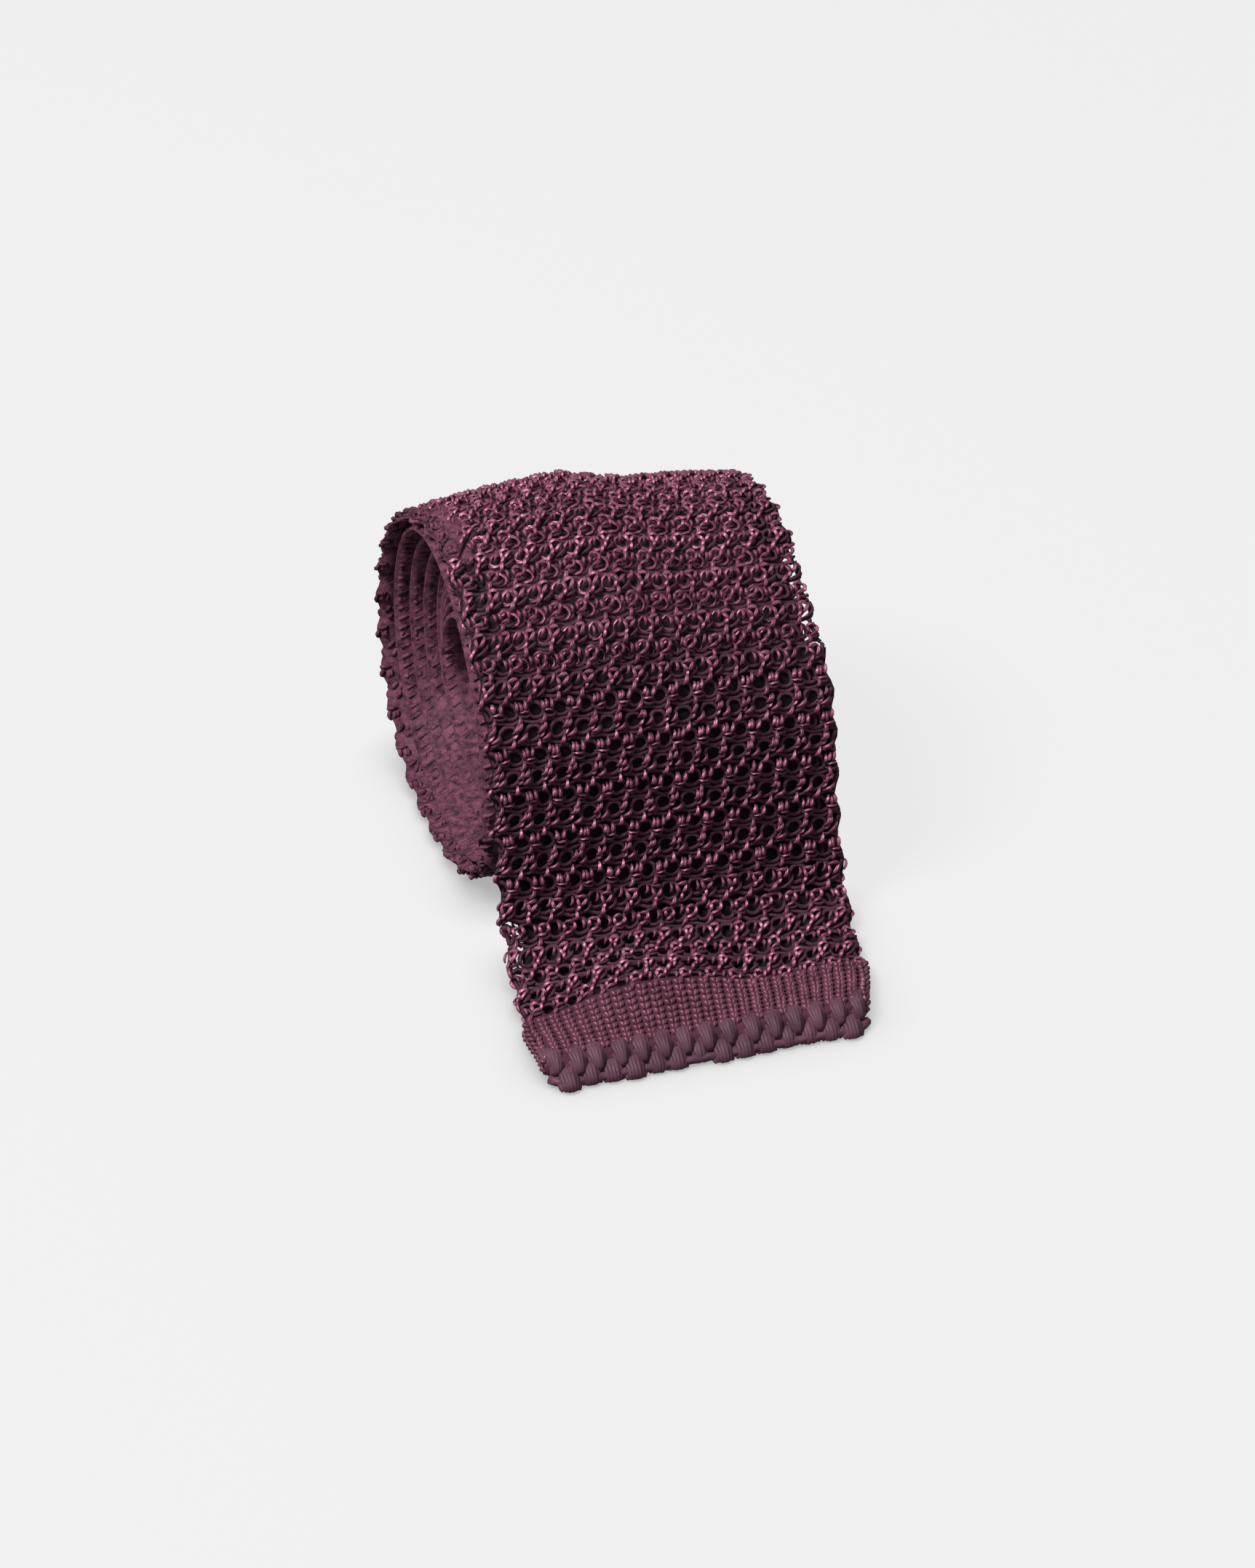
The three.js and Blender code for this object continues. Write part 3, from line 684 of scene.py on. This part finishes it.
def make_hem_stitches():
    faces = Faces()
    at = SCALLOP_LENGTH + HEM_LENGTH / HEM_ROWS * (np.arange(HEM_ROWS) + 0.5)
    s, q = (v.ravel()[:, None] for v in np.meshgrid(at, np.arange(HEM_COLUMNS) + 0.5, indexing="ij"))
    right, up, rise = HEM_LEG.T[:, None]
    for side in (-1, 1):
        wander = random.normal(0, 0.03, (2, len(s), 1))
        paths, normals = on_tube(s + up + wander[0], q + side * right / COLUMN * 2 + wander[1],
                                 rise + HEM_RISE, columns=HEM_COLUMNS)
        yarns(faces, paths, HEM_THICKNESS, 6, normals)
    keep(faces.build("hem_stitches", plain_silk), "hem_band", "plain_knit")


def lofted(faces, points, stations):
    """A closed solid through rings of points (stations, ring, 3)."""
    count, columns = points.shape[:2]
    a = np.arange(count - 1)[:, None]
    j = np.arange(columns)[None]
    l = (j + 1) % columns
    quads = np.stack([a * columns + j, a * columns + l, (a + 1) * columns + l, (a + 1) * columns + j], -1)
    uvs = np.zeros((*quads.shape[:2], 4, 2))
    uvs[..., 0] = np.stack([stations[:-1], stations[:-1], stations[1:], stations[1:]], -1)[:, None]
    caps = np.stack([np.arange(columns)[::-1], (count - 1) * columns + np.arange(columns)])
    faces.add(points, quads, uvs, caps)


CLOTH_STEP, CLOTH_POINTS = 1.4, 20
LOWER_EDGES = (14.02, 27.98)  # the lower layer's columns, from the right edge to the left
OPEN_LEFT, OPEN_RIGHT = (25, 27, 35, 37), (73, 75, 90, 92)  # where the ground stays off an edge
WRAP = 1.5  # columns that the ground comes up round the roll's left edge


def make_inner_cloth():
    """The cloth itself: a thin ground in the lower layer of the outer turn, and both layers inside. Where the
    holes show it, its nearly black colour is painted shade.
    """
    faces = Faces()
    stations = np.arange(hem_start + JOIN_GAP, strip_end, CLOTH_STEP)
    both = smoothstep(stations, outer_end - 14, outer_end - 4)[:, None]
    wrapped = WRAP * smoothstep(stations, BRUSHED_FROM - 2, BRUSHED_FROM + 8)[:, None] * (1 - both)
    first = (LOWER_EDGES[0] + 1.6 * window(stations, *OPEN_RIGHT))[:, None]
    last = (LOWER_EDGES[1] - 0.8 * window(stations, *OPEN_LEFT))[:, None] + wrapped
    below = lerp(first, last, np.linspace(0, 1, CLOTH_POINTS)[None])
    raised = np.maximum(both, 0.25 * wrapped / WRAP * smoothstep(below, 26.6, 27.8))
    lower, _ = on_tube(stations[:, None], below, lerp(-0.1, 0.5, raised))
    thin, _ = on_tube(stations[:, None], below, -0.5)
    upper, _ = on_tube(stations[:, None], KNOT_COLUMNS - below, 0.5)
    back = lerp(thin, upper, both[..., None])[:, ::-1]
    lofted(faces, np.concatenate([lower, back], 1), stations)
    cloth = faces.build("inner_cloth", painted_shade_cloth)
    cloth.data.materials.append(brushed_silk)
    brushed = np.repeat((stations[:-1] > outer_end - 8)[:, None], 2 * CLOTH_POINTS, 1)
    brushed[stations[:-1] > BRUSHED_FROM, CLOTH_POINTS - 4 : CLOTH_POINTS + 4] = True
    slots = np.concatenate([brushed.ravel(), [False, True]])
    cloth.data.polygons.foreach_set("material_index", slots.astype(np.int32))
    keep(cloth, "knit_body", "openwork_knit")
    return cloth


def make_hem_ground():
    # A sheet under the hem's stitches, darker than their yarn as painted shade in the gaps
    faces = Faces()
    stations = np.linspace(SCALLOP_LENGTH - 1, hem_start + 0.8, 16)
    points, _ = on_tube(stations[:, None], np.arange(56)[None] / 2, 0.12)
    lofted(faces, points, stations)
    keep(faces.build("hem_ground", painted_shade_hem_ground), "hem_band", "plain_knit")


# Scalloped end: two rows of knobs, half a pitch apart, with cords that join the knobs of a row
end = np.array([np.interp(SCALLOP_LENGTH, lengths, c) for c in strip])
end_front, end_half, end_aside = end[0], end[5], end[6]
END_MARGIN, CORNER, CORNER_DEPTH = 0.4, 3.2, 2.2
KNOB_PITCH, KNOB_STRANDS, LEAST_HEIGHT = 3.54, 7, 0.34
STRAND_SPREAD, STRAND_DROP, STRAND_DRAW = 0.86, 0.9, 0.45  # how the outer strands fall round a knob
# Profiles of a knob down its middle as (reach, height, half width), the upper row and the lower
UPPER_KNOB = np.array([(-1.3, 4.1, 1.4), (-0.3, 4.4, 1.7), (0.9, 4.1, 1.5), (1.9, 3.35, 1.1),
                       (2.5, 2.55, 0.65), (2.6, 1.9, 0.25)])
LOWER_KNOB = np.array([(0.6, 2.3, 1.5), (1.9, 2.45, 1.7), (3.0, 2.1, 1.75), (3.8, 1.4, 1.6),
                       (4.15, 0.8, 1.45), (4.0, 0.4, 1.3)])
KNOB_THICKNESS = np.array([0.36, 0.46, 0.5, 0.48, 0.42, 0.34])
# Cords as (reach, height, radius)
KNOB_CORDS = ((3.1, 0.95, 0.75), (0.5, 2.5, 0.8), (-0.9, 3.3, 0.8), (0.6, 1.0, 0.8))


def at_end(across, reach, height):
    """A place at the blade's end, drawn back towards its rounded corners."""
    limit = end_half - END_MARGIN
    across = np.clip(across, -limit, limit)
    corner = np.clip((np.abs(across) - (limit - CORNER)) / CORNER, 0, 1)
    back = SHIFT_BACK - end_front - reach + CORNER_DEPTH * corner**2
    return np.stack(np.broadcast_arrays(end_aside + across + SHIFT_RIGHT, back, height), -1)


def make_scalloped_end():
    faces = Faces()
    for profile, number in ((UPPER_KNOB, 15), (LOWER_KNOB, 14)):
        reach, height, half_width = profile.T[:, None]
        middle = (np.arange(number) - (number - 1) / 2) * KNOB_PITCH + random.normal(0, 0.12, number)
        size = random.normal(1, 0.06, (number, 1))
        for strand in np.linspace(-1, 1, KNOB_STRANDS):
            lift = np.maximum(height - STRAND_DROP * strand**2, LEAST_HEIGHT) + random.normal(0, 0.04, (number, 1))
            beside = middle[:, None] + strand * half_width * STRAND_SPREAD
            paths = at_end(beside, reach * size - STRAND_DRAW * strand**2, lift)
            yarns(faces, paths, KNOB_THICKNESS, 6, np.array([0.05, -0.5, 0.85]))
    across = np.linspace(-1, 1, 60)[None] * (end_half - 0.9)
    for reach, height, radius in KNOB_CORDS:
        yarns(faces, at_end(across, reach, height), radius, 6, np.array([0, 0, 1.0]))
    keep(faces.build("scalloped_knobs", edge_silk), "scalloped_end", "scallop_knit")


make_top_layer("blade_knit", [r for r in outer_rows if r[0] < ROLL_FROM])
make_top_layer("roll_knit", [r for r in outer_rows if r[0] >= ROLL_FROM])
make_roll_edge()
make_under_layer()
make_inner_turns()
make_edge_loops()
make_hem_stitches()
cloth = make_inner_cloth()
make_hem_ground()
make_scalloped_end()

for piece, cad_node, slot in pieces:
    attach(piece, "root")
    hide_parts(cad_node)


# The photograph's angle, in degrees, and the place in the frame, in metres
CAMERA_AZIMUTH, CAMERA_ELEVATION, CAMERA_DISTANCE, LENS = -16.53, 36.09, 1.0, 144.93
AIM, AIM_LEFT, AIM_DOWN = (0.00052, 0, 0.030), 0.00192, 0.00991


def add_camera():
    azimuth, elevation = math.radians(CAMERA_AZIMUTH), math.radians(CAMERA_ELEVATION)
    back = Vector((math.sin(azimuth) * math.cos(elevation), -math.cos(azimuth) * math.cos(elevation),
                   math.sin(elevation)))
    right = Vector((math.cos(azimuth), math.sin(azimuth), 0))
    up = back.cross(right)
    aim = Vector(AIM) - right * AIM_LEFT - up * AIM_DOWN
    data = bpy.data.cameras.new("camera")
    data.lens, data.sensor_width = LENS, 36.0
    data.clip_start, data.clip_end = 0.05, 20
    camera = bpy.data.objects.new("camera", data)
    camera.location = aim + back * CAMERA_DISTANCE
    camera.rotation_mode = "QUATERNION"
    camera.rotation_quaternion = (-back).to_track_quat("-Z", "Y")
    bpy.context.scene.collection.objects.link(camera)
    bpy.context.scene.camera = camera


FLOOR_HALF = 6.0
SHADOW_REACH, SHADOW_LEVEL, FLOOR_LEVEL = 0.009, 0.42, 0.80


def add_floor():
    """Even pale grey that only darkens right beside the tie."""
    corners = [(-FLOOR_HALF, -FLOOR_HALF, 0), (FLOOR_HALF, -FLOOR_HALF, 0), (FLOOR_HALF, FLOOR_HALF, 0),
               (-FLOOR_HALF, FLOOR_HALF, 0)]
    mesh = bpy.data.meshes.new("floor")
    mesh.from_pydata(corners, [], [(0, 1, 2, 3)])
    floor = bpy.data.objects.new("floor", mesh)
    bpy.context.scene.collection.objects.link(floor)
    material = bpy.data.materials.new("pale matte paper")
    material.use_nodes = True
    tree = material.node_tree
    shader = tree.nodes["Principled BSDF"]
    shader.inputs["Base Color"].default_value = (0.04, 0.04, 0.04, 1)
    shader.inputs["Roughness"].default_value = 0.9
    shader.inputs["Specular IOR Level"].default_value = 0.0
    shader.inputs["Emission Color"].default_value = (1, 1, 1, 1)
    # Painted shadow: the floor's glow is turned down where the tie is within SHADOW_REACH
    near = node(tree, "ShaderNodeAmbientOcclusion", {"samples": 8}, Distance=SHADOW_REACH)
    level = node(tree, "ShaderNodeMapRange", Value=near.outputs["AO"], _1=0.35, _2=0.95,
                 _3=SHADOW_LEVEL, _4=FLOOR_LEVEL)
    tree.links.new(level.outputs[0], shader.inputs["Emission Strength"])
    mesh.materials.append(material)
    floor.visible_diffuse = floor.visible_glossy = False


def add_light(name, place, aim, size, power, colour):
    data = bpy.data.lights.new(name, "AREA")
    data.shape, data.size, data.energy, data.color = "DISK", size, power, colour
    light = bpy.data.objects.new(name, data)
    light.location = place
    light.rotation_mode = "QUATERNION"
    light.rotation_quaternion = (Vector(aim) - Vector(place)).to_track_quat("-Z", "Y")
    bpy.context.scene.collection.objects.link(light)


LOW_LIGHT, HIGH_LIGHT = 0.25, 0.38  # a little more light from above than from the sides


def add_world():
    world = bpy.data.worlds.new("soft studio")
    world.use_nodes = True
    tree = world.node_tree
    background = tree.nodes["Background"]
    place = node(tree, "ShaderNodeTexCoord")
    parts = node(tree, "ShaderNodeSeparateXYZ", Vector=place.outputs["Generated"])
    level = node(tree, "ShaderNodeMapRange", Value=parts.outputs[2], _1=-0.5, _2=0.8,
                 _3=LOW_LIGHT, _4=HIGH_LIGHT)
    tree.links.new(level.outputs[0], background.inputs["Strength"])
    background.inputs["Color"].default_value = (1, 1, 1, 1)
    bpy.context.scene.world = world


add_camera()
add_floor()
add_world()
LIT_PLACE = (0, 0, 0.02)
add_light("key", (-0.6, -0.15, 1.0), LIT_PLACE, size=0.45, power=24.0, colour=(1, 0.99, 0.97))
add_light("fill", (0.9, -0.7, 0.9), LIT_PLACE, size=0.8, power=3.0, colour=(1, 1, 1))
bpy.context.scene.view_settings.view_transform = "Standard"
